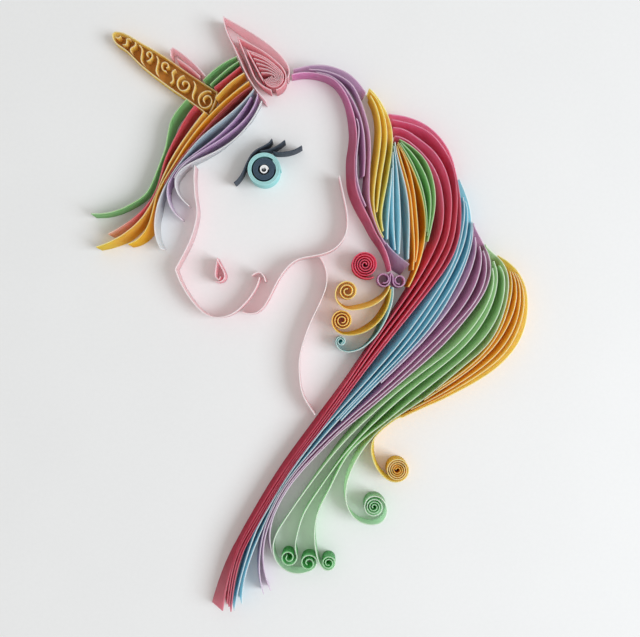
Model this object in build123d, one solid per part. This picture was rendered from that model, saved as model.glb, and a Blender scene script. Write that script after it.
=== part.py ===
from build123d import *
from math import atan2, ceil, cos, dist, hypot, pi, radians, sin, sqrt
import os

# A unicorn's head quilled from paper strips that stand on edge on a backing card.
# The card lies flat: +X runs to the picture's right, +Y to its top and +Z up from the card.

# Card and paper, in millimetres
card_width = 200
card_length = 200
card_thick = 2
card_corner = 1
strip_width = 5        # how far an upright strip stands up from the card
horn_strip_width = 3   # the horn is quilled from narrower paper
paper_thick = 0.3
glue_gap = 0.1         # room for glue between strips that lie side by side
facet_sag = 0.07       # how far the flat facets of a strip may leave its curve
coil_steps = 16        # points to a turn of a coil
tight_gap = 0.05       # between the turns of a tight coil
horn_base_thick = 0.3
horn_fit_gap = 0.1     # between the horn and the forelock strips that stop at it
horn_spread = 1.008    # the horn's template is drawn this much smaller than the others

# The strips are laid over a printed template. A template place is (across, down),
# counted in template units from its top left corner. Its middle lies on the card's middle.
figure_length = 163    # from the near ear's tip to the lowest strip end
template_ear_tip = 17
template_lowest_end = 614
template_middle = (320, 318.5)
unit = figure_length / (template_lowest_end - template_ear_tip)

# The eye's three tight coils sit one inside the other
eye_place = (264, 169.4)
eye_ring_radius = 4.65
eye_iris_radius = 3.2
eye_pupil_radius = 1.3
eye_pupil_hole = 0.5

# The near ear holds a coil whose turns fan out from its straight left side
ear_coil_hole = 2.2 * unit
ear_coil_pitch = max(1.465 * unit, paper_thick + glue_gap)
ear_coil_room = 7.6 * unit    # between the hole and the outermost turn
ear_coil_tips = (0, 0.13, 0.29, 0.45, 0.61, 0.77)    # where its turns start, as shares of that side
ear_coil_tips = ear_coil_tips[:int(ear_coil_room / ear_coil_pitch) + 1]

# How far a strip's foot lies to the right of its top edge, evenly spaced along its run
upright = (0,)
ear_lean = (0, 0.6, 1.2, 0.8, 0, 0.9, 1.1, 0.6, 0)
ear_middle_lean = (0, 0.4, 0.7, 0, 0, 0, 0, 0, 0)
far_ear_lean = (0, 0, 0, 0.5, 0.8, 0.9, 0.6)
far_ear_inner_lean = (0.2, 0.5, 0.6)
forelock_lean = (-0.4, -1.2, -1.4, -0.9, -0.3, -0.5, -1.2, -1.6, -0.4)
short_forelock_lean = (-0.4, -1.3, -1.3, -0.6, -0.2)
inner_forelock_lean = (-0.3, -1.3, -1.3, -0.5, -0.1, -0.2, -0.4)
pink_forelock_lean = (-0.3, -0.9, -0.8, -0.3, 0, 0, 0)
lilac_forelock_lean = (-0.2, -0.4, -0.4, -0.1)
last_forelock_lean = (0.6, 1.4, 1.2, 0.5, 0, 0, 0)
crest_lean = (0, 0.2, 0.8, 1.7, 2.2, 2.2, 1.8, 1.2, 0.6)
crown_lean = (0, 0.3, 0.95, 1.6, 0.9)
short_lean = (0.5, 1.6, 1.4, 0.6)
crimson_leans = (
    (1.2, 2.2, 1.9, 0.7, 0.6, 1.0, 1.0, 0.9, 3.6),
    (1.2, 2.2, 1.9, 0.7, 0.6, 1.0, 1.0, 0.9, 1.2),
    (1.4, 2.2, 2.5, 1.3, 1.0, 1.1, 1.0, 0.9, 0.9),
)
blue_lean = (1.2, 2.2, 2.4, 1.8, 1.0, 1.0, 1.0)
purple_lean = (1.2, 2.2, 2.2, 1.4, 1.0, 0.9, 0.9)
green_leans = (
    (1.0, 2.2, 2.2, 1.6, 0.9, 0, -0.5, 0, 0, 0),
    (1.0, 2.2, 2.2, 1.6, 1.0, 0.1, -0.5, -0.2, 0, 0),
    (1.0, 2.2, 2.2, 1.6, 1.0, 0.2, -0.3, -0.2, 0, 0),
    (1.0, 2.2, 2.2, 1.6, 1.2, 0.4, 0, 0, 0, 0),
)
orange_curl_lean = (0.6, 1.2, 1.6, 1.6, 1.2, 0.6, 0, -1.0, -0.2, 0, 0, 0, 0, 0)
orange_lean = (0.6, 1.4, 1.6, 1.2, 0.5)
fold_lean = (0.4, 2.2, 3.6, 3.4)
curl_lean = (0.4, 1.4, 1.4, 0.5, 0, 0, 0, 0, 0)


def on_card(place):
    return ((place[0] - template_middle[0]) * unit, (template_middle[1] - place[1]) * unit)


def direction(a, b):
    length = max(dist(a, b), 1e-6)
    return ((b[0] - a[0]) / length, (b[1] - a[1]) / length)


def shifted(p, along, left):
    """The point a little way to the left of a direction."""
    return (p[0] - along[1] * left, p[1] + along[0] * left)


def between(a, b, share):
    return (a[0] + (b[0] - a[0]) * share, a[1] + (b[1] - a[1]) * share)


def smooth(points, per_span=8):
    """Close points along a smooth line through the given points."""
    curve = Spline(*points)
    count = per_span * (len(points) - 1)
    close = [curve @ (i / count) for i in range(count + 1)]
    return [(p.X, p.Y) for p in close]


def spiral(middle, start, turns, end_radius, way, steps):
    """Points that wind inward round a middle, way 1 to the left and -1 to the right."""
    first = atan2(start[1] - middle[1], start[0] - middle[0])
    reach = dist(start, middle)
    count = ceil(steps * turns)
    points = []
    for i in range(1, count + 1):
        angle = first + way * 2 * pi * turns * i / count
        radius = reach + (end_radius - reach) * i / count
        points.append((middle[0] + radius * cos(angle), middle[1] + radius * sin(angle)))
    return points


def nearest(p, line):
    """How far p lies from a line, above zero on its left, with the foot there and its direction."""
    best = None
    for a, b in zip(line, line[1:]):
        length = dist(a, b)
        along = direction(a, b)
        reach = (p[0] - a[0]) * along[0] + (p[1] - a[1]) * along[1]
        reach = min(max(reach, 0), length)
        foot = (a[0] + along[0] * reach, a[1] + along[1] * reach)
        away = dist(p, foot)
        if best is None or away < abs(best[0]):
            left = along[0] * (p[1] - foot[1]) - along[1] * (p[0] - foot[0])
            best = (away if left >= 0 else -away, foot, along)
    return best


neighbour_reach = 4    # strips further apart than this never push each other
push_reach = 1.2       # the most that one strip moves another aside


def box_gap(line, other):
    """How far apart the boxes round two lines are."""
    gaps = []
    for axis in (0, 1):
        a = [p[axis] for p in line]
        b = [p[axis] for p in other]
        gaps.append(max(min(a) - max(b), min(b) - max(a), 0))
    return max(gaps)


def pushed(line, others, gap):
    """The line with each point moved aside where it is nearer than the gap to another strip."""
    line = list(line)
    window = 14    # points that settle together on which side of the other strip they lie
    for other in others:
        ends = (other[0], other[-1])
        found = [nearest(p, other) for p in line]
        close = [f[0] if f[1] not in ends and abs(f[0]) < neighbour_reach else 0 for f in found]
        for i, (away, foot, along) in enumerate(found):
            side = 1 if sum(close[max(i - window, 0) : i + window]) > 0 else -1
            if foot in ends:
                if abs(away) < gap:
                    line[i] = shifted(foot, along, side * gap)
            elif away * side < gap and abs(away) < push_reach:
                line[i] = shifted(foot, along, side * gap)
    return line


def laid_beside(line, others, gap):
    """The line laid clear of the strips before it, easing into and out of each move aside."""
    others = [other for other in others if box_gap(line, other) < neighbour_reach]
    moved = pushed(line, others, gap)
    if moved == line:
        return moved
    window = 5    # points over which a move eases in and out
    eased = []
    for i, p in enumerate(line):
        near = range(max(i - window, 0), min(i + window + 1, len(line)))
        across = sum(moved[j][0] - line[j][0] for j in near) / len(near)
        up = sum(moved[j][1] - line[j][1] for j in near) / len(near)
        eased.append((p[0] + across, p[1] + up))
    return pushed(eased, others, gap)


def off_line(p, a, b):
    """How far p lies to one side of the line through a and b."""
    along = direction(a, b)
    return abs(along[0] * (p[1] - a[1]) - along[1] * (p[0] - a[0]))


def facet_marks(top, foot, folds):
    """Which points to keep, so that a strip leaves its flat facets by no more than the sag."""
    last = len(top) - 1
    marks = [0]
    for end in range(1, last):
        start = marks[-1]
        a, b = top[start], top[end + 1]
        c, d = foot[start], foot[end + 1]
        twisted = (b[0] + c[0] - d[0], b[1] + c[1] - d[1])
        sag = off_line(twisted, a, b) / 4
        for i in range(start + 1, end + 1):
            sag = max(sag, off_line(top[i], a, b), off_line(foot[i], c, d))
        if sag > facet_sag or end in folds:
            marks.append(end)
    return marks + [last]


def edge_line(line, left):
    """The line moved to its left with mitred corners, so that a strip keeps its thickness."""
    moved = []
    for i, p in enumerate(line):
        back = direction(line[i - 1], p) if i > 0 else direction(p, line[i + 1])
        ahead = direction(p, line[i + 1]) if i < len(line) - 1 else back
        middle = (back[0] + ahead[0], back[1] + ahead[1])
        size = max(hypot(*middle), 0.5)
        along = (middle[0] / size, middle[1] / size)
        moved.append(shifted(p, along, left * 2 / size))
    return moved


def ring_round(line, height):
    """The outline of a strip's edge at a height."""
    sides = edge_line(line, paper_thick / 2) + edge_line(line, -paper_thick / 2)[::-1]
    return [Vector(x, y, height) for x, y in sides]


def flat(*corners):
    return Face(Wire.make_polygon(corners))


class Strip:
    """One paper strip on edge, held as its top line and its foot line."""

    def __init__(self, line, lean=upright, beside=(), folds=(), stands_on=card_thick,
                 width=strip_width, whole=False):
        gap = paper_thick + glue_gap
        self.stands_on = stands_on
        self.leans = any(lean)
        kinks = [line[i] for i in (range(len(line)) if whole else folds)]
        top = laid_beside(line, [s.top for s in beside], gap)
        top = [p for p, q in zip(top, top[1:]) if dist(p, q) > 0.02] + [top[-1]]
        foot = top
        if self.leans:
            foot = laid_beside(self.leaned(top, lean), [s.foot for s in beside], gap)
        marks = facet_marks(top, foot, [i for i, p in enumerate(top) if p in kinks])
        self.top = [top[i] for i in marks]
        self.foot = [foot[i] for i in marks]
        self.height = sqrt(width**2 - (sum(lean) / len(lean)) ** 2)

    def leaned(self, line, lean):
        foot = []
        last = len(line) - 1
        run = [0]
        for a, b in zip(line, line[1:]):
            run.append(run[-1] + dist(a, b))
        for i, p in enumerate(line):
            along = direction(line[max(i - 2, 0)], line[min(i + 2, last)])
            place = (len(lean) - 1) * run[i] / run[-1]
            k = min(int(place), len(lean) - 2)
            foot.append(shifted(p, along, -(lean[k] + (lean[k + 1] - lean[k]) * (place - k))))
        return foot

    def solid(self):
        base = ring_round(self.foot, self.stands_on)
        if not self.leans:
            return Solid.extrude(flat(*base), Vector(0, 0, self.height))
        top = ring_round(self.top, self.stands_on + self.height)
        faces = [flat(*base), flat(*top)]
        # both sides of the strip are parted along the same diagonals
        for i in range(len(base)):
            j = (i + 1) % len(base)
            near, far = (i, j) if i < len(base) / 2 else (j, i)
            faces.append(flat(base[i], base[j], top[far]))
            faces.append(flat(base[near], top[j], top[i]))
        return Solid(Shell(faces))


def drawn(places):
    return smooth([on_card(p) for p in places])


def spread(line):
    return [(x * horn_spread, y * horn_spread) for x, y in line]


def folded(*legs):
    """One line made of several legs that meet at sharp folds, and where the folds are."""
    line = drawn(legs[0])
    folds = []
    for leg in legs[1:]:
        folds.append(len(line) - 1)
        line = line + drawn(leg)[1:]
    return line, folds


def curled(places, middle, turns, end_radius, way):
    """A line that runs on into a coil round a middle place, of no more turns than its paper allows."""
    run = [on_card(p) for p in places]
    room = dist(run[-1], on_card(middle)) - end_radius
    turns = min(turns, room / (paper_thick + glue_gap + facet_sag))
    return smooth(run + spiral(on_card(middle), run[-1], turns, end_radius, way, coil_steps), 4)


def tight_coil(middle, radius, hole):
    """A coil wound tight from a hole out to a radius, with its facets in line from turn to turn."""
    pitch = paper_thick + tight_gap
    turns = int(coil_steps * (radius - hole - paper_thick) / pitch) / coil_steps
    reach = radius - paper_thick / 2
    start = (middle[0] + reach, middle[1])
    return [start, *spiral(middle, start, turns, reach - pitch * turns, 1, coil_steps)]


def fan_coil(apex, low, middle, hole, pitch, tips):
    """The turns of a coil with a straight left side, which fan out from places down that side."""
    along = direction(low, apex)
    turns = []
    for k, share in enumerate(tips):
        tip = shifted(between(apex, low, share), along, -1.3 * pitch if k else 0)
        radius = hole + pitch * (len(tips) - k - 1)
        angles = (55, 20, -15, -50, -85, -120)
        bend = [shifted(middle, (sin(radians(a)), -cos(radians(a))), radius) for a in angles]
        bow = dist(tip, bend[0]) * 0.07
        side = []
        for reach, rise in ((0.3, 0.8), (0.6, 1), (0.85, 0.5)):
            side.append(shifted(between(tip, bend[0], reach), direction(tip, bend[0]), bow * rise))
        turns.append([tip, *side, *bend, shifted(low, along, -pitch * (k + 1))])
    return [smooth(turn, 4) for turn in turns]


# Every piece, by name, as the strips or solids that it holds
pieces = {}


def lay(name, lines, lean=upright, beside=(), folds=(), stands_on=card_thick,
        width=strip_width, whole=False):
    """Lays a piece's strips one after another, each against those laid before it."""
    laid = []
    for line in lines:
        laid.append(Strip(line, lean, [*beside, *laid], folds, stands_on, width, whole))
    pieces[name] = laid
    return list(laid)


# Near ear: an outline folded at the tip, a folded strip inside it and the fan coil
ear_line, ear_folds = folded(
    [(266.2, 101.5), (255.3, 88.2), (247.4, 76), (239, 58.5), (232.3, 44), (225.3, 28), (223.6, 17)],
    [(223.6, 17), (243.8, 28.2), (259.5, 37.9), (277.7, 52.4), (286.2, 62.5), (289.2, 70), (287.5, 78)],
)
near_ear = lay("near_ear_outline", [ear_line], ear_lean, folds=ear_folds)
middle_line, middle_folds = folded(
    [(271.5, 90.5), (263.5, 86.5), (256.5, 80.2), (249.5, 66), (242.5, 49), (238, 37.5)],
    [(238, 37.5), (253.5, 46), (265.6, 53.2), (276, 61.5), (283.5, 69.5), (286, 77), (283.5, 85),
     (276, 90)],
)
near_ear += lay("near_ear_middle", [middle_line], ear_middle_lean, near_ear, middle_folds)
coil_top, coil_low = on_card((247.3, 50.5)), on_card((263.2, 80.5))
ear_turns = fan_coil(coil_top, coil_low, on_card((273.8, 77.3)), ear_coil_hole, ear_coil_pitch,
                     ear_coil_tips)
coil = [Strip([coil_low, between(coil_low, coil_top, 0.5), *ear_turns[0]], upright, near_ear, [2])]
for turn in ear_turns[1:]:
    coil.append(Strip(turn, upright, near_ear + coil))
pieces["near_ear_coil"] = coil
near_ear += coil

# Far ear, half hidden by the horn: an outline folded at the tip and a strip inside it
far_line, far_folds = folded([(172, 62.5), (170.5, 55), (170.5, 46.5)],
                             [(170.5, 46.5), (186, 56.5), (196, 65.5), (205.5, 76)])
far_ear = lay("far_ear_outline", [far_line], far_ear_lean, folds=far_folds)
far_ear += lay("far_ear_inner", [drawn([(177, 58.5), (188, 66), (200, 76.5)])], far_ear_inner_lean, far_ear)

# Horn: a gold card base, a strip round it and scrolls between
horn_line, horn_folds = folded(
    [(208, 114.5), (194, 104), (174, 90.5), (155, 76), (141, 65), (123, 48), (113, 38.5), (113, 33),
     (118.5, 32), (134, 39), (153, 49.5), (169, 60), (186, 72), (201, 81.5), (217, 92)],
    [(217, 92), (215.5, 99), (213, 106), (209.5, 112.5)],
)
horn_top = card_thick + horn_base_thick
horn = lay("horn_outline", [spread(horn_line)], folds=horn_folds, stands_on=horn_top, width=horn_strip_width)
scroll_runs = [
    [(115.5, 37), (118.5, 38), (120.5, 36)],
    [(122.5, 44.5), (126.5, 43), (126.5, 39.5), (130, 39)],
    [(131, 52), (131, 48), (134.5, 46), (135, 42)],
    [(139, 45), (142, 50), (141, 57), (143, 63.5)],
    [(146.5, 61), (150.5, 59), (152, 54.5), (149, 51.5), (146.5, 54), (148, 56)],
    [(156.5, 56), (158, 61), (156.5, 67), (157, 74)],
    [(166, 71), (162, 68), (163, 62.5), (167.5, 63.5), (168, 67), (166, 67.5)],
    [(170, 83), (173, 78), (172, 74), (175.5, 69.5)],
    [(184, 75.5), (178.5, 79), (177.5, 86), (182, 90.5), (187.5, 88.5), (188.5, 83), (184.5, 81),
     (182.5, 84.5)],
    [(193.5, 81), (195, 86), (193.5, 91), (193, 99)],
    [(211, 91.5), (204.5, 91.5), (199.5, 95.5), (198.5, 102), (203, 107.5), (209, 106), (211.5, 100),
     (208, 95.5), (203.5, 98), (204.5, 102)],
]
lay("horn_scrolls", [spread(drawn(run)) for run in scroll_runs], beside=horn, stands_on=horn_top,
    width=horn_strip_width)

# Forelock, from the near ear down to its fanned tips, in the order that the strips lie
forelock_runs = {
    "forelock_green": (inner_forelock_lean, [
        (237, 56.5), (213, 71), (185, 101), (171, 121), (166, 145), (155, 175), (147, 192), (133, 203),
        (112, 212), (91, 213.6)]),
    "forelock_crimson": (forelock_lean, [
        (240.5, 66.5), (215, 87), (192, 109), (176, 136), (164, 163), (157.5, 186), (146, 206),
        (122, 226), (108, 234)]),
    "forelock_yellow": (forelock_lean, [
        (245, 72.5), (225.5, 87), (201, 116), (178, 148), (164, 174), (156.5, 192), (144, 215),
        (125, 233), (96, 247)]),
    "forelock_orange": (forelock_lean, [
        (249, 81.5), (229, 97), (209, 116), (183, 149), (166.5, 176), (157.5, 192), (151, 217),
        (143, 234), (128, 244)]),
    "forelock_maroon": (short_forelock_lean, [
        (251.5, 86), (236, 97.5), (206, 128), (187, 151), (172, 171), (164.5, 184)]),
    "forelock_sky": (inner_forelock_lean, [
        (254.5, 88.5), (226, 117), (197, 141), (175, 168), (162, 192), (155.5, 215), (155, 232),
        (161, 249)]),
    "forelock_pink": (pink_forelock_lean, [
        (251, 97), (239.5, 114), (213, 140), (191, 156.5), (175, 171), (168, 184), (167.5, 197),
        (173, 211), (181, 219)]),
    "forelock_lilac": (lilac_forelock_lean, [
        (258, 93), (253, 108), (231, 132), (205.5, 149), (182, 166), (174, 178)]),
    "forelock_pale_blue": (last_forelock_lean, [
        (262, 101), (255, 115), (244, 130), (228.5, 144), (205.5, 156.5), (186, 166), (176, 176),
        (175.5, 187), (181, 198), (188, 205)]),
}
forelock = []
for name, (lean, run) in forelock_runs.items():
    forelock += lay(name, [drawn(run)], lean, near_ear + forelock)
inner_green_line = drawn([(240.5, 60.5), (229, 68), (219, 76.5), (209, 86)])
inner_green = Strip(inner_green_line, (-0.3, -0.5, -0.8), near_ear + forelock)
pieces["forelock_green"].append(inner_green)

# Face, mouth, jaw and the front of the neck
face_line, face_folds = folded(
    [(194.8, 165.5), (194.2, 173), (195.5, 198), (197, 211), (195, 225), (189, 243), (182.5, 256),
     (175.3, 269.5)],
    [(175.3, 269.5), (178, 277), (190.6, 299), (198, 308), (207, 315), (217, 317.5), (227, 316),
     (236.5, 311), (246, 302), (255.6, 288.4), (259.6, 277)],
)
face = lay("face_outline", [face_line], beside=forelock, folds=face_folds)
face += lay("jaw", [drawn([(339.3, 175.5), (345, 201), (347.6, 220), (346, 233), (338, 245.5),
                           (328, 252), (306, 257), (296.5, 260), (288, 266.5), (272.8, 290.3),
                           (262.5, 307.9), (256.5, 312.6), (248, 313.6), (241.5, 312.1)])], beside=face)
face += lay("lip", [drawn([(251.5, 275.5), (255.5, 273), (259.5, 272.2), (262.6, 274.6),
                           (265.4, 281.5)])], beside=face)
face += lay("neck_front", [drawn([(320, 256.5), (325.5, 268), (326.5, 284), (322, 298), (312, 319),
                                  (303, 343), (299.3, 361), (299.6, 377), (303, 395), (309, 406),
                                  (315, 415)])], beside=face)

# Nostril, a teardrop folded at its tip, with a small curl inside
nostril_line, nostril_folds = folded(
    [(220.5, 276.5), (218.3, 279.4), (216, 277.5), (215.8, 271), (216.6, 264.5), (217.3, 259.3)],
    [(217.3, 259.3), (220, 265), (223, 270.5), (224.8, 275.7), (223.2, 280), (219, 282), (215, 281.6)],
)
face += lay("nostril", [nostril_line], beside=face, folds=nostril_folds)

# Eye: three tight coils, and three lashes that share a root along the eye's left
eye = on_card(eye_place)
lay("eye_ring", [tight_coil(eye, eye_ring_radius, eye_iris_radius + tight_gap)], whole=True)
lay("eye_iris", [tight_coil(eye, eye_iris_radius, eye_pupil_radius + tight_gap)], whole=True)
lay("eye_pupil", [tight_coil(eye, eye_pupil_radius, eye_pupil_hole)], whole=True)
lash_runs = [
    [(272, 139), (267, 144.5), (258, 149), (250.5, 156), (246, 165), (241.5, 174.5), (234, 183)],
    [(285, 140.4), (277.4, 146), (270, 149.3), (260, 151)],
    [(302, 146), (293, 150.5), (283, 152.5), (273, 152)],
]
lashes = [Strip(drawn(lash_runs[0]), beside=pieces["eye_ring"])]
for run in lash_runs[1:]:
    lashes.append(Strip(drawn(run), beside=pieces["eye_ring"] + lashes))
pieces["lashes"] = lashes

# Neck crest, the strip that the mane is laid against
mane = lay("neck_crest", [drawn([(291.5, 74.5), (310, 72.5), (323, 74.8), (333, 79), (341, 86.5),
                                 (348, 98), (353, 112), (356, 126), (356.7, 140), (355, 158), (355, 172),
                                 (356.5, 188), (363, 206), (370.5, 221), (377.5, 236), (384, 247),
                                 (388.5, 259), (391, 271)])], crest_lean, near_ear + face)

# Crown: lilac strips that run over the head and down beside the crest
crown_runs = [
    [(356.6, 118.5), (358.6, 125), (359, 132), (357.7, 142), (356, 153), (356, 170),
     (359, 187), (366, 206)],
    [(316, 72.5), (329, 76), (341, 83.5), (351, 97), (359.5, 115), (363.6, 132), (364.8, 145),
     (365, 160), (364, 176)],
    [(309, 69.3), (323, 70.6), (338, 75.3), (350, 83), (358, 95), (365, 114), (369.5, 134),
     (370, 160), (369.3, 180), (370, 203), (374, 219), (380, 234), (386, 244)],
    [(293, 69.5), (310, 65.8), (325.5, 65.6), (340, 69.5), (351, 75.5), (360.6, 85.5), (366, 93)],
]
crown = lay("crown_lilac", [drawn(run) for run in crown_runs], crown_lean, mane + near_ear)
mane += crown
fold_line = drawn([(386.5, 243), (393, 250.5), (401, 257.5), (409.5, 264)])
mane += lay("lilac_fold", [fold_line], fold_lean, mane)

# Short locks behind the cheek
short_runs = {
    "short_yellow": [
        [(370.5, 95.5), (378.5, 114), (380.9, 136.5), (378.3, 160), (374.3, 190.6), (374, 205),
         (376.5, 222), (382.3, 238)],
        [(370, 91), (377, 99.5), (382.5, 111), (386.3, 126), (385.5, 152), (382, 173), (378.5, 200),
         (377, 212)],
        [(368.5, 89), (381, 103), (390, 122), (392.5, 138), (390.6, 159), (386, 188), (382.5, 206),
         (381.7, 220), (383.5, 231)],
    ],
    "short_blue": [
        [(392, 168), (390.3, 195), (388.5, 218), (387.8, 239)],
        [(393, 152), (393.3, 179), (393.5, 215), (395.4, 250)],
        [(394, 146), (397.5, 172), (400, 205), (400, 236), (399.3, 254)],
        [(395, 142), (398.5, 160), (404.5, 182), (408.5, 206), (409.3, 232), (408.5, 259)],
    ],
    "short_orange": [
        [(397, 146), (403, 166), (410, 193), (413, 222), (414.5, 250), (413, 270)],
        [(397.5, 144), (406, 160), (414, 190), (417.4, 222), (417.6, 250), (415.5, 262)],
        [(398, 142.5), (406, 156), (417, 180), (424.5, 210), (425, 236), (419.5, 262), (408.5, 287)],
    ],
    "short_green": [
        [(399.5, 143), (409.7, 158), (421, 184), (426.4, 212), (425.8, 232)],
        [(399.5, 141.5), (410, 151), (423, 170), (430.5, 195), (430, 218), (427.6, 236)],
        [(399.5, 139.3), (410, 145.5), (425, 160), (433.5, 182), (435.3, 200), (433, 219),
         (427.8, 241.5)],
    ],
}
for name, runs in short_runs.items():
    mane += lay(name, [drawn(run) for run in runs], short_lean, mane)

# Cheek curls, below the short locks
scroll_run = [on_card(p) for p in [(386, 286), (390, 281), (390.1, 276), (391.5, 273.2), (392.9, 276),
                                   (393, 281.5), (396.3, 286.3)]]
left_ring = spiral(on_card((384, 279.2)), scroll_run[0], 1.1, 3.66 * unit, -1, coil_steps)
right_ring = spiral(on_card((399.2, 280.6)), scroll_run[-1], 1.1, 3.3 * unit, 1, coil_steps)
mane += lay("purple_scroll", [smooth(left_ring[::-1] + scroll_run + right_ring, 4)], beside=mane + face)
mane += lay("teal_curl", [curled([(393, 287), (391.5, 305), (385.7, 320), (372, 340), (355, 351),
                                   (340.4, 349.6), (336, 342)], (341, 341.3), 1.8, 0.5, -1)],
             curl_lean, mane + face)
mane += lay("orange_curl", [curled([(391, 289), (389.5, 301), (384, 314.6), (371, 328.5), (352, 335),
                                     (336, 330.5), (332, 320)], (342.3, 320.4), 2.8, 0.6, -1)],
             curl_lean, mane + face)
mane += lay("yellow_curl", [curled([(390, 285.5), (380.6, 300.6), (361.5, 309), (344, 308),
                                     (335.5, 297), (340, 284), (348, 281.5), (355, 286)],
                                    (347.4, 291), 1.9, 0.6, -1)],
             curl_lean, mane + face)
mane += lay("red_coil", [curled([(374, 277), (362, 277.5), (353.5, 270)], (365, 264.5), 4.6, 0.4, -1)],
             beside=mane + face)

# Long locks that sweep right, gather below the neck and run down to the lowest ends
long_runs = {
    "mane_crimson": (crimson_leans, [
        [(394.8, 136), (406, 139.5), (419, 150), (430, 162), (438, 177), (442.5, 195), (443.5, 213),
         (441.5, 230), (435, 248), (419, 278), (405, 299), (375, 341), (350, 378), (324, 415),
         (299, 449), (273, 487), (252, 522), (239.5, 545), (230, 573), (224.8, 597), (222.8, 611)],
        [(393.2, 127.5), (406, 130.5), (419, 139), (432, 149.5), (442.5, 164), (449, 182), (451.5, 200),
         (451, 215), (447.5, 237), (436, 262), (410, 301), (378, 343), (352.5, 379), (326, 416),
         (300.5, 450), (275, 488), (254, 523), (240, 547), (231, 577), (227.3, 604)],
        [(391.8, 119.6), (413, 124.5), (430, 133), (442, 146), (451.5, 163), (456, 182), (457.3, 200),
         (456.5, 218), (452, 243), (441, 266), (414, 304), (382, 345), (355, 380), (328, 417),
         (302, 451), (276, 489), (256, 524), (242, 549), (233, 579), (229, 607)],
        [(388.6, 114), (404.3, 116.4), (416.4, 120.2), (428.8, 127), (440.5, 138), (450.6, 154.6),
         (456.9, 178), (460.4, 200), (461, 215), (459, 237), (450, 261), (436.5, 281), (405.5, 320),
         (375, 358), (330, 418), (303.5, 452), (277.5, 490), (257.5, 525), (243.5, 551), (235, 581),
         (231, 612)],
    ]),
    "mane_blue": ([blue_lean], [
        [(463.2, 197), (464.6, 206), (464.6, 216), (462, 234), (454.5, 260), (434, 296), (405.5, 336),
         (365, 383), (332, 419), (309, 444), (290, 469.5), (276, 492), (260, 520), (249.5, 549),
         (241, 578), (234.5, 611)],
        [(465.6, 201), (467.4, 209), (467.8, 219), (465.5, 238), (457, 262), (437.4, 299), (405.5, 344),
         (366, 388), (336, 420)],
        [(459.6, 179), (464, 189.5), (467.7, 200), (470.6, 213), (471.3, 230), (465, 259),
         (440.6, 305), (408.7, 347.6), (365, 392), (327.8, 432), (302.3, 461.6), (280, 492),
         (264, 525), (249, 563), (243, 588), (242, 604)],
        [(472.3, 222), (472.8, 234), (469.5, 252), (455, 288), (430, 328), (395, 366), (366, 395),
         (341, 421)],
    ]),
    "mane_purple": ([purple_lean], [
        [(475.2, 237), (476, 248), (473.5, 262), (461, 291), (438, 324), (405, 360), (381, 383)],
        [(479.7, 246), (481.4, 256), (480.5, 268), (474, 288), (450, 323), (415, 359), (380, 391.5),
         (343, 424), (312, 454), (287, 483), (268, 518), (260.5, 550), (260, 577), (263.8, 594.4)],
        [(483.3, 250.5), (486, 260), (486, 274), (481, 291), (460, 320), (425, 356), (384, 393),
         (345, 426), (314, 456), (289.5, 484), (271, 519), (263.5, 549), (264.5, 570), (270.8, 591)],
        [(473.2, 223), (478.3, 233.5), (484, 244.5), (489, 256), (490.8, 268), (488, 284), (472, 311),
         (440, 348), (400, 383), (360, 416.5), (331, 439), (300, 471.5), (281, 499), (270.5, 529),
         (272, 553)],
    ]),
    "mane_orange": ([orange_lean], [
        [(509.8, 271), (512, 284), (509.5, 303), (499, 332), (482, 355), (450, 381), (436, 390)],
        [(512.3, 272), (516, 284), (516, 300), (511, 318), (499, 340), (470.7, 368.8), (424, 400)],
        [(514.6, 272.7), (519.3, 285), (520, 303), (515, 325), (501, 349), (472, 374.5), (435, 397.5),
         (411, 409.5)],
        [(517, 274), (522.4, 287), (524, 303), (519.5, 326), (507, 350), (477, 376), (440, 397.5),
         (402, 416)],
    ]),
}
green_runs = [
    curled([(492.5, 268), (493.8, 279), (492, 291), (480, 317), (455, 346.5), (414, 378.5), (380, 407),
            (344, 442), (314, 479), (283, 523), (273.5, 543), (274.5, 557), (283, 568.5), (296, 573.5),
            (307, 572), (315.5, 566.5), (316.5, 560)], (308.5, 563), 1.6, 0.6, 1),
    curled([(493.7, 261), (497, 273), (495.5, 292), (483, 322), (458, 352), (416, 386), (375, 422),
            (344, 455), (318, 491), (303, 516), (296.5, 538), (296, 553)],
           (288.5, 557.5), 1.7, 0.6, -1),
    curled([(499.5, 265.5), (503.8, 275), (504.3, 290), (499.5, 311), (487, 334), (458, 363),
            (416, 397), (376, 429), (350, 452), (329, 490), (318, 513), (314.5, 536), (317.5, 558),
            (323, 568.5)],
           (328.4, 563), 2.2, 0.6, 1),
    curled([(484.8, 244.5), (491, 251.5), (500, 259.5), (507, 272), (508.3, 290), (503.5, 313),
            (490, 341), (460, 369), (420, 401.5), (383, 427), (362, 451), (348, 480), (346, 500),
            (353, 516.5), (368, 524.5), (382.5, 521.5), (387, 511.5), (384.5, 502), (377, 496.5),
            (369, 498), (365, 504)], (374, 507), 3.2, 0.4, 1),
]
outer_orange = curled(
    [(497.4, 255.6), (506, 260.5), (516, 269.5), (525.5, 288), (527.5, 308), (519, 341), (496, 368),
     (455, 393), (425, 407), (393, 419), (378, 430), (371.5, 445), (373.5, 461), (383, 476), (395.6, 482),
     (406, 477.5)], (397.5, 470), 4.6, 0.5, 1)

long_lines = {name: (leans, [drawn(run) for run in runs]) for name, (leans, runs) in long_runs.items()}
long_lines["mane_green"] = (green_leans, green_runs)
for name in ("mane_crimson", "mane_blue", "mane_purple", "mane_green", "mane_orange"):
    leans, lines = long_lines[name]
    for number, line in enumerate(lines, 1):
        mane += lay(f"{name}_{number}", [line], leans[min(number, len(leans)) - 1], mane)
mane += lay("mane_orange_5", [outer_orange], orange_curl_lean, mane)

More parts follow.
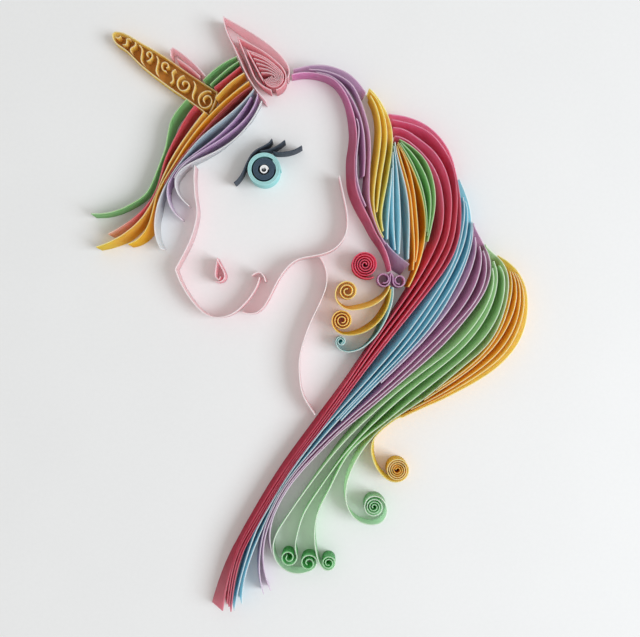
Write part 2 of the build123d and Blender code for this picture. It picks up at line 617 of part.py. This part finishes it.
# The backing card and the horn's base
card = Pos(0, 0, card_thick / 2) * Box(card_width, card_length, card_thick)
card = fillet(card.edges().filter_by(Axis.Z), card_corner)
horn_foot = [Vector(x, y, card_thick) for x, y in horn[0].foot]
horn_base = Solid.extrude(Face(Wire.make_polygon(horn_foot)), Vector(0, 0, horn_base_thick))
horn_room_line = edge_line(horn[0].foot, paper_thick / 2 + horn_fit_gap)
horn_room_foot = Face(Wire.make_polygon([Vector(x, y, 0) for x, y in horn_room_line]))
horn_room = Solid.extrude(horn_room_foot, Vector(0, 0, card_thick + 2 * strip_width))

os.makedirs("parts", exist_ok=True)
nodes = {"backing_card": card.solids(), "horn_base": [horn_base]}
for name, strips in pieces.items():
    solids = [strip.solid() for strip in strips]
    if name.startswith(("forelock", "far_ear")):
        solids = [part for solid in solids for part in (solid - horn_room).solids()]
    nodes[name] = solids
for name, solids in nodes.items():
    export_step(Compound(children=solids, label=name), f"parts/{name}.step")
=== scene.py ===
import math
import bmesh
import bpy
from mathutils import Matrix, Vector


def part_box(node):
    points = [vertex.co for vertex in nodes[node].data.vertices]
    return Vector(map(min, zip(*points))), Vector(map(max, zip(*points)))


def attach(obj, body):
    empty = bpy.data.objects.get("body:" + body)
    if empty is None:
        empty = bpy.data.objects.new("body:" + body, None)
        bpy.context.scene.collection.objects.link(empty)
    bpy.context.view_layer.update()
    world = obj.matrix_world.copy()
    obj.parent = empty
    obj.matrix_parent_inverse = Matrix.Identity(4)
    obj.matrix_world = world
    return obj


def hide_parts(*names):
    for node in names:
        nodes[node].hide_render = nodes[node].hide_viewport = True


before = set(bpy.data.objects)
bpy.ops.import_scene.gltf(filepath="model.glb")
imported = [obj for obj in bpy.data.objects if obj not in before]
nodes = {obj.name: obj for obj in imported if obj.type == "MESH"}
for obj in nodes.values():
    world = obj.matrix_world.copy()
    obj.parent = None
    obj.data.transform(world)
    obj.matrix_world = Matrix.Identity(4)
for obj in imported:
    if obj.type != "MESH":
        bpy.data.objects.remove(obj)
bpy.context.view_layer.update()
mm = 0.001


def colour(text):
    # sRGB hex to the linear colour that Blender works in
    parts = [int(text[i:i + 2], 16) / 255 for i in (1, 3, 5)]
    return [p / 12.92 if p <= 0.04045 else ((p + 0.055) / 1.055) ** 2.4 for p in parts] + [1]


def node(tree, kind, settings=None, links=None):
    # one shader node with its settings, and links into it given as input: (node, output)
    new = tree.nodes.new(kind)
    for name, value in (settings or {}).items():
        if isinstance(name, int) or name in new.inputs:
            new.inputs[name].default_value = value
        else:
            setattr(new, name, value)
    for name, (source, output) in (links or {}).items():
        tree.links.new(source.outputs[output], new.inputs[name])
    return new


# Camera, straight above the card's middle
view = {"height": 192 * mm, "pixel": 0.28 * mm, "wide": 640, "sensor": 36}

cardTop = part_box("backing_card")[1].z
camera = bpy.data.objects.new("camera", bpy.data.cameras.new("camera"))
bpy.context.scene.collection.objects.link(camera)
camera.data.sensor_fit = "HORIZONTAL"
camera.data.sensor_width = view["sensor"]
camera.data.lens = view["sensor"] * view["height"] / (view["pixel"] * view["wide"])
camera.location = (0, 0, cardTop + view["height"])
bpy.context.scene.camera = camera
bpy.context.scene.view_settings.view_transform = "Standard"
print("camera set")

# One wide soft window light from the lower right, and a warm pale world all round
light = {"place": (0.94, -0.24, 0.74), "size": 0.7, "power": 11.4, "colour": "#F4F9FF",
         "world": "#FBF8F4", "worldStrength": 0.58}

lamp = bpy.data.objects.new("softbox", bpy.data.lights.new("softbox", "AREA"))
bpy.context.scene.collection.objects.link(lamp)
lamp.data.size = light["size"]
lamp.data.energy = light["power"]
lamp.data.color = colour(light["colour"])[:3]
lamp.location = light["place"]
lamp.rotation_euler = Vector(light["place"]).to_track_quat("Z", "Y").to_euler()
world = bpy.data.worlds.new("pale room")
bpy.context.scene.world = world
world.use_nodes = True
back = world.node_tree.nodes["Background"]
back.inputs["Color"].default_value = colour(light["world"])
back.inputs["Strength"].default_value = light["worldStrength"]
print("light set")

# Floor that the card lies on
floor = {"size": 1.6, "colour": "#E9E8E6", "roughness": 0.8}

shape = bmesh.new()
bmesh.ops.create_grid(shape, x_segments=1, y_segments=1, size=floor["size"] / 2)
mesh = bpy.data.meshes.new("floor")
shape.to_mesh(mesh)
shape.free()
table = bpy.data.objects.new("floor", mesh)
bpy.context.scene.collection.objects.link(table)
matt = bpy.data.materials.new("matt floor")
matt.use_nodes = True
skin = matt.node_tree.nodes["Principled BSDF"]
skin.inputs["Base Color"].default_value = colour(floor["colour"])
skin.inputs["Roughness"].default_value = floor["roughness"]
table.data.materials.append(matt)
print("floor set")

# Quilling paper: matt uncoated coloured paper, slit into strips. The fibres give it a fine mottle and
# a slight fuzz in the light, it lets a little light through, and the slit edge shows the paler core,
# which on the gold paper carries a painted highlight as well.
# fibre and cloud hold the size of a noise and its detail, tones how dark and light they make the paper.
plainPaper = {"fibre": (0.35 * mm, 3.0), "cloud": (4 * mm, 2.0), "tones": (0.9, 1.08),
              "bump": 0.25, "bumpHeight": 0.02 * mm, "roughness": 0.72, "ior": 1.45,
              "glow": 1.0, "depth": 2.0 * mm, "through": 0.35, "throughEdge": 0.1}
noiseSum = (0.6, 1.4)   # where nearly all of the sum of two noises lies


def fibres(tree, paper):
    # the paper's mottle as a factor on its colour, and the bump of its fibres
    place = node(tree, "ShaderNodeTexCoord")
    fibre, cloud = [node(tree, "ShaderNodeTexNoise", {"Scale": 1 / size, "Detail": detail},
                         {"Vector": (place, "Object")})
                    for size, detail in (paper["fibre"], paper["cloud"])]
    both = node(tree, "ShaderNodeMath", {"operation": "ADD"}, {0: (fibre, "Fac"), 1: (cloud, "Fac")})
    tone = node(tree, "ShaderNodeMapRange",
                {"From Min": noiseSum[0], "From Max": noiseSum[1],
                 "To Min": paper["tones"][0], "To Max": paper["tones"][1]}, {"Value": (both, 0)})
    bump = node(tree, "ShaderNodeBump", {"Strength": paper["bump"], "Distance": paper["bumpHeight"]},
                {"Height": (fibre, "Fac")})
    return tone, bump


def quillingPaper(name, face, edge, own=None, tintsAtEnds=()):
    # the materials of a paper's face and of its slit edge; own overrides the settings above
    # an end tint turns the colour towards another at the upper (0) or lower (1) end; on some papers it
    # is painted shade, on others painted light
    paper = {**plainPaper, **(own or {})}
    made = []
    for part, tint, through in (("face", face, paper["through"]), ("edge", edge, paper["throughEdge"])):
        material = bpy.data.materials.new(f"{name} paper {part}")
        material.use_nodes = True
        tree = material.node_tree
        tree.nodes.clear()
        tone, bump = fibres(tree, paper)
        body = node(tree, "ShaderNodeRGB")
        body.outputs[0].default_value = colour(tint)
        dyeAndPaintedLight = (body, 0)
        run = node(tree, "ShaderNodeUVMap", {"uv_map": "alongStrip"})
        ends = node(tree, "ShaderNodeSeparateXYZ", links={"Vector": (run, "UV")})
        # mix in each end tint along the strip, with the painted shade and painted light at some papers'
        # ends
        for endTint in tintsAtEnds:
            share = node(tree, "ShaderNodeMapRange",
                         {"interpolation_type": "SMOOTHSTEP", "From Min": endTint["reach"][0],
                          "From Max": endTint["reach"][1]}, {"Value": (ends, endTint["end"])})
            mixed = node(tree, "ShaderNodeMix", {"data_type": "RGBA", 6: colour(endTint[part])},
                         {0: (share, 0), 7: dyeAndPaintedLight})
            dyeAndPaintedLight = (mixed, 2)
        tinted = node(tree, "ShaderNodeVectorMath", {"operation": "SCALE"}, {0: dyeAndPaintedLight, "Scale": (tone, 0)})
        matt = node(tree, "ShaderNodeBsdfPrincipled",
                    {"Roughness": paper["roughness"], "IOR": paper["ior"],
                     "Subsurface Weight": paper["glow"], "Subsurface Radius": (1.0, 1.0, 1.0),
                     "Subsurface Scale": paper["depth"]},
                    {"Base Color": (tinted, 0), "Normal": (bump, 0)})
        # light that goes through a sheet passes both of its faces, and each takes half of the colour
        half = node(tree, "ShaderNodeGamma", {"Gamma": 0.5}, {"Color": (tinted, 0)})
        shining = node(tree, "ShaderNodeBsdfTranslucent",
                       links={"Color": (half, 0), "Normal": (bump, 0)})
        sheet = node(tree, "ShaderNodeMixShader", {0: through}, {1: (matt, 0), 2: (shining, 0)})
        node(tree, "ShaderNodeOutputMaterial", links={"Surface": (sheet, 0)})
        made.append(material)
    return made


# Each strip is read from its CAD solid as a top line and a foot line, then rebuilt smooth
strip = {"thick": 0.3 * mm, "step": 0.6 * mm, "foldAngle": 48,
         "edgeBevel": 0.05 * mm, "bevelSegments": 2, "bevelAngle": 60}
reading = {"merge": 0.002 * mm, "level": 0.01 * mm, "flat": 0.9, "endSlip": 0.05 * mm,
           "widestFold": 1.6 * mm, "samples": 200}


def mergedCopy(name):
    shape = bmesh.new()
    shape.from_mesh(nodes[name].data)
    bmesh.ops.remove_doubles(shape, verts=shape.verts, dist=reading["merge"])
    return shape


def solidsOf(shape):
    # the separate solids, as lists of vertices
    seen = set()
    groups = []
    for start in shape.verts:
        if start in seen:
            continue
        seen.add(start)
        group = [start]
        for v in group:
            for e in v.link_edges:
                other = e.other_vert(v)
                if other not in seen:
                    seen.add(other)
                    group.append(other)
        groups.append(group)
    return groups


def ringsAt(group, height):
    # the outlines of a solid's flat top or foot, each in order and anticlockwise
    level = [v for v in group if abs(v.co.z - height) < reading["level"]]
    inLevel = set(level)
    rim = {}
    for v in level:
        for e in v.link_edges:
            flat = [abs(f.normal.z) > reading["flat"] for f in e.link_faces]
            if e.other_vert(v) in inLevel and any(flat) and not all(flat):
                rim.setdefault(v, []).append(e.other_vert(v))
    rings = []
    while rim:
        start = min(rim, key=lambda v: (v.co.x, v.co.y))
        ring = [start, rim[start][0]]
        while True:
            ahead = [v for v in rim[ring[-1]] if v not in ring[-2:]]
            if not ahead or ahead[0] is start:
                break
            ring.append(ahead[0])
        for v in ring:
            del rim[v]
        ring = [v.co.copy() for v in ring]
        area = sum(a.x * b.y - b.x * a.y for a, b in zip(ring, ring[1:] + ring[:1]))
        rings.append(ring if area > 0 else ring[::-1])
    return rings


def middleLine(ring):
    # the line between the two long sides of an outline with square ends, or None for any other
    half, odd = divmod(len(ring), 2)
    if odd or half < 2:
        return None
    best = None
    for k in range(half):
        turned = ring[k:] + ring[:k]
        pairs = list(zip(turned[:half], turned[half:][::-1]))
        widths = [(a - b).length for a, b in pairs]
        slip = abs(widths[0] - strip["thick"]) + abs(widths[-1] - strip["thick"])
        if best is None or slip < best[0]:
            best = (slip, max(widths), [(a + b) / 2 for a, b in pairs])
    slip, widest, line = best
    return line if slip < reading["endSlip"] and widest < reading["widestFold"] else None


def sidesOf(ring):
    # the two long sides of an outline whose ends are cut off at a slant: the ends are two short
    # edges that lie far apart, with about as much of the outline on each side of them
    run = [0]
    for a, b in zip(ring, ring[1:] + ring[:1]):
        run.append(run[-1] + (b - a).length)
    best = None
    for i in range(len(ring)):
        for j in range(i + 1, len(ring)):
            right, left = run[j] - run[i + 1], run[-1] - run[j + 1] + run[i]
            ends = run[i + 1] - run[i] + run[j + 1] - run[j]
            score = ends + abs(right - left) - 2 * (ring[i] - ring[j]).length
            if best is None or score < best[0]:
                best = (score, i, j)
    i, j = best[1:]
    return ring[i + 1:j + 1], (ring[j + 1:] + ring[:i + 1])[::-1]


def sharesOf(line):
    # how far along a line each of its points lies, from 0 to 1
    run = [0]
    for a, b in zip(line, line[1:]):
        run.append(run[-1] + (b - a).length)
    return [r / run[-1] for r in run]


def atShare(line, share):
    shares = sharesOf(line)
    i = min(sum(s <= share for s in shares), len(line) - 1)
    part = (share - shares[i - 1]) / max(shares[i] - shares[i - 1], 1e-9)
    return line[i - 1].lerp(line[i], part)


def shareNear(line, point):
    tries = [k / reading["samples"] for k in range(reading["samples"] + 1)]
    return min(tries, key=lambda share: (atShare(line, share) - point).length)


def slantedLine(ring):
    # the middle line of an outline whose ends are cut off at a slant
    right, left = sidesOf(ring)
    return [(atShare(right, share) + atShare(left, share)) / 2 for share in sharesOf(right)]


def smoothed(top, foot):
    # more points along both lines, on a curve that passes through the given ones, sharp at folds
    folds = {0, len(top) - 1}
    for i in range(1, len(top) - 1):
        turn = math.degrees((top[i] - top[i - 1]).angle(top[i + 1] - top[i]))
        if turn > strip["foldAngle"]:
            folds.add(i)
    newTop, newFoot = [top[0]], [foot[0]]
    for i in range(len(top) - 1):
        parts = max(1, math.ceil((top[i + 1] - top[i]).length / strip["step"]))
        for line, new in ((top, newTop), (foot, newFoot)):
            a, b = line[i], line[i + 1]
            before = line[i - 1] if i not in folds else a * 2 - b
            after = line[i + 2] if i + 1 not in folds else b * 2 - a
            # a centripetal curve: its knots are the roots of the distances, so it can't overshoot
            g, h, k = [max((q - p).length, reading["level"]) ** 0.5
                       for p, q in ((before, a), (a, b), (b, after))]
            out = ((a - before) / g - (b - before) / (g + h) + (b - a) / h) * h
            home = ((b - a) / h - (after - a) / (h + k) + (after - b) / k) * h
            for part in range(1, parts + 1):
                t = part / parts
                new.append(a * (2 * t**3 - 3 * t**2 + 1) + out * (t**3 - 2 * t**2 + t)
                           + b * (3 * t**2 - 2 * t**3) + home * (t**3 - t**2))
    return newTop, newFoot


def stripLines(group):
    # the top and foot line of each strip in one solid, upper end first
    heights = [v.co.z for v in group]
    tops, feet = ([middleLine(ring) or slantedLine(ring) for ring in ringsAt(group, height)]
                  for height in (max(heights), min(heights)))
    lines = []
    for top in tops:
        foot = feet[0]
        straight = (top[0] - foot[0]).length + (top[-1] - foot[-1]).length
        crossed = (top[0] - foot[-1]).length + (top[-1] - foot[0]).length
        if straight > crossed:
            foot = foot[::-1]
        if len(top) != len(foot):
            # where the horn notches a strip, two top lines share one foot
            first, last = (0, 1)
            if len(tops) > 1:
                first, last = shareNear(foot, top[0]), shareNear(foot, top[-1])
            foot = [atShare(foot, first + (last - first) * share) for share in sharesOf(top)]
        if top[0].y < top[-1].y:
            top, foot = top[::-1], foot[::-1]
        lines.append(smoothed(top, foot))
    return lines


def stripPiece(name, papers):
    # one mesh with every strip of a node: each foot line is pulled up to its top line
    source = mergedCopy(name)
    lines = [pair for group in solidsOf(source) for pair in stripLines(group)]
    source.free()
    lowest = min(foot[-1].y for top, foot in lines)
    shape = bmesh.new()
    along = shape.loops.layers.uv.new("alongStrip")
    for top, foot in lines:
        chain = [shape.verts.new(p) for p in foot]
        edges = [shape.edges.new(pair) for pair in zip(chain, chain[1:])]
        pulled = bmesh.ops.extrude_edge_only(shape, edges=edges)["geom"]
        above = {}
        for v in chain:
            for e in v.link_edges:
                other = e.other_vert(v)
                if other not in chain and other in pulled:
                    above[v] = other
        length = 0
        runs = {}
        for i, v in enumerate(chain):
            length += (foot[i] - foot[i - 1]).length if i else 0
            runs[v] = runs[above[v]] = length
            above[v].co = top[i]
        reachesEnd = foot[-1].y < lowest + mm
        for f in [g for g in pulled if isinstance(g, bmesh.types.BMFace)]:
            for corner in f.loops:
                # millimetres from the upper end, and from the lower end where the strip reaches it
                rest = length - runs[corner.vert] if reachesEnd else 1
                corner[along].uv = (runs[corner.vert] / mm, rest / mm)
    mesh = bpy.data.meshes.new(name + "_paper")
    shape.to_mesh(mesh)
    shape.free()
    piece = bpy.data.objects.new(name + "_paper", mesh)
    bpy.context.scene.collection.objects.link(piece)
    for material in papers:
        mesh.materials.append(material)
    return piece


def finishStrip(piece):
    piece.data.polygons.foreach_set("use_smooth", [True] * len(piece.data.polygons))
    thick = piece.modifiers.new("paper thickness", "SOLIDIFY")
    thick.thickness = strip["thick"]
    thick.offset = 0
    thick.use_even_offset = True
    thick.material_offset_rim = 1
    soft = piece.modifiers.new("worn edge", "BEVEL")
    soft.width = strip["edgeBevel"]
    soft.segments = strip["bevelSegments"]
    soft.limit_method = "ANGLE"
    soft.angle_limit = math.radians(strip["bevelAngle"])
    soft.harden_normals = False


# Face and slit-edge colours of each paper. Tight coils let no light through, thin papers a lot.
tight = {"glow": 0.1, "through": 0.0, "throughEdge": 0.0}
thin = {"through": 0.7}
colours = {
    # gold: the paler edge is the gilt edge's colour with a painted highlight for its shine
    "gold": ("#FFC862", "#FFDA98", {"through": 0.2}),
    "goldCard": ("#CC984A", "#CC984A", tight),
    "facePink": ("#FFD6DA", "#FCEAEA", {"through": 0.55}),
    "earPink": ("#FFC2CA", "#F8D0D6", {"through": 0.5}),
    "coilPink": ("#FFBCC4", "#F8B8C0", {"through": 0.6}),
    "crestPink": ("#E27090", "#D8809A"),
    "crimson": ("#E04A60", "#D24E62"),
    "red": ("#F04460", "#E45068", thin),
    "maroon": ("#983C40", "#A04C4C"),
    "yellow": ("#FFE264", "#FFE884", {"through": 0.6}),
    "curlYellow": ("#FFD468", "#FFD87C", thin),
    "curlOrange": ("#FFC044", "#FFCA68", thin),
    "orange": ("#FFB430", "#FFD284"),
    "sun": ("#FFCC4C", "#FFDC88"),
    "green": ("#84C874", "#A0D090"),
    "paleGreen": ("#B8E8BC", "#D8F2D4", {"through": 0.6}),
    "teal": ("#84D0D4", "#C0E4D8", thin),
    "blue": ("#8CD2E6", "#CCECF4", {"through": 0.55}),
    "shortBlue": ("#A4E2F2", "#CCECF4", {"through": 0.6}),
    "shortOrange": ("#FFAA28", "#FFCA70", {"through": 0.6}),
    "sky": ("#B0D0E2", "#E0F0F6"),
    "purple": ("#C088AC", "#DEC0D6"),
    "scrollPurple": ("#CC98C4", "#BC8CAE", thin),
    "lilac": ("#CC92B8", "#CC98B8"),
    "palePurple": ("#BC94C0", "#C4A8CC"),
    "paleBlue": ("#E2ECEE", "#E8F0EE"),
    "white": ("#F4F6F8", "#FFFFFF", tight),
    "turquoise": ("#96D8D8", "#AEE2E2", tight),
    "navy": ("#34485A", "#3E5264", tight),
    "lash": ("#3C4450", "#3C4652", tight),
    "tipGreen": ("#6CA864", "#9CC88C"),
    "tipCrimson": ("#D84858", "#D06068"),
    "tipYellow": ("#FFD058", "#FFE69C", {"through": 0.6}),
    "tipOrange": ("#FFB236", "#FFD07C", {"through": 0.6}),
}

# Colours that papers turn to towards one end (0 upper, 1 lower) over the given millimetres; some are
# painted shade and light
endTintsAndPaintedLight = {
    "crestPink": [{"end": 0, "reach": (10, 34), "face": "#F690C8", "edge": "#F6ACD2"}],
    "lilac": [{"end": 0, "reach": (8, 36), "face": "#CAA4C8", "edge": "#D2B0CC"}],
    # crimson: pinker towards the upper end, darker red along the lower tail, and lighter pink at the
    # tips, painted light shining through the splayed ends
    "crimson": [{"end": 0, "reach": (4, 34), "face": "#F46890", "edge": "#EE88A8"},
                {"end": 1, "reach": (50, 90), "face": "#D03450", "edge": "#BC4054"},
                {"end": 1, "reach": (2, 20), "face": "#EC8090", "edge": "#D06878"}],
    # pale green: darker at both ends, painted shade where the strips crowd above and where the coil's
    # turns shade each other below
    "paleGreen": [{"end": 0, "reach": (50, 110), "face": "#AEDE9C", "edge": "#C4E8B8"},
                  {"end": 1, "reach": (6, 24), "face": "#74C880", "edge": "#A4DCA4"}],
    "purple": [{"end": 1, "reach": (5, 50), "face": "#D8BCDA", "edge": "#DCC4DE"}],
    "sun": [{"end": 1, "reach": (6, 24), "face": "#FFAC34", "edge": "#F8AC40"}],
    "tipGreen": [{"end": 1, "reach": (1, 14), "face": "#80BC7C", "edge": "#A8D49C"}],
    "sky": [{"end": 1, "reach": (2, 26), "face": "#DCEEF4", "edge": "#EAF6F8"}],
    "palePurple": [{"end": 1, "reach": (1, 14), "face": "#DCC8E0", "edge": "#E0D0E4"}],
    "tipCrimson": [{"end": 1, "reach": (1, 12), "face": "#F0A090", "edge": "#F0BCA8"}],
    "tipYellow": [{"end": 1, "reach": (1, 12), "face": "#FFD850", "edge": "#FFE488"}],
    "tipOrange": [{"end": 1, "reach": (1, 10), "face": "#FFCE3C", "edge": "#FFD878"}],
}

# Which paper each node is cut from
papersOf = {
    "horn_outline": "gold", "horn_scrolls": "gold", "far_ear_outline": "earPink",
    "far_ear_inner": "coilPink", "near_ear_outline": "earPink", "near_ear_middle": "coilPink",
    "near_ear_coil": "coilPink", "forelock_green": "tipGreen", "forelock_crimson": "tipCrimson",
    "forelock_yellow": "tipYellow", "forelock_orange": "tipOrange", "forelock_maroon": "maroon",
    "forelock_sky": "sky", "forelock_pink": "palePurple", "forelock_lilac": "palePurple",
    "forelock_pale_blue": "paleBlue", "face_outline": "facePink", "jaw": "facePink", "lip": "facePink",
    "neck_front": "facePink", "nostril": "earPink", "eye_ring": "turquoise", "eye_iris": "navy",
    "eye_pupil": "white", "lashes": "lash", "neck_crest": "crestPink", "crown_lilac": "lilac",
    "lilac_fold": "lilac", "short_yellow": "yellow", "short_blue": "shortBlue",
    "short_orange": "shortOrange", "short_green": "green", "purple_scroll": "scrollPurple",
    "teal_curl": "teal", "orange_curl": "curlOrange", "yellow_curl": "curlYellow", "red_coil": "red",
}
for lock, count, kind in (("crimson", 4, "crimson"), ("blue", 4, "blue"), ("purple", 4, "purple"),
                          ("green", 4, "paleGreen"), ("orange", 5, "orange")):
    for k in range(1, count + 1):
        papersOf[f"mane_{lock}_{k}"] = kind
papersOf["mane_orange_4"] = papersOf["mane_orange_5"] = "sun"

papers = {name: quillingPaper(name, *tints, tintsAtEnds=endTintsAndPaintedLight.get(name, ()))
          for name, tints in colours.items()}
for name, kind in papersOf.items():
    piece = stripPiece(name, papers[kind])
    finishStrip(piece)
    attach(piece, "root")
    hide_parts(name)
print("strips made")

# Backing card: smooth white card with a faint fibre grain, and gold card under the horn's strips
card = {"face": "#F1F2F2", "fibre": (0.9 * mm, 4.0), "cloud": (30 * mm, 1.0), "tones": (0.98, 1.01),
        "bump": 0.12, "bumpHeight": 0.02 * mm, "roughness": 0.6}

board = bpy.data.materials.new("white card")
board.use_nodes = True
tree = board.node_tree
skin = tree.nodes["Principled BSDF"]
tone, bump = fibres(tree, card)
tinted = node(tree, "ShaderNodeVectorMath", {"operation": "SCALE", 0: colour(card["face"])[:3]},
              {"Scale": (tone, 0)})
tree.links.new(tinted.outputs[0], skin.inputs["Base Color"])
tree.links.new(bump.outputs[0], skin.inputs["Normal"])
skin.inputs["Roughness"].default_value = card["roughness"]
for name, material in (("backing_card", board), ("horn_base", papers["goldCard"][0])):
    nodes[name].data.materials.clear()
    nodes[name].data.materials.append(material)
print("card set")
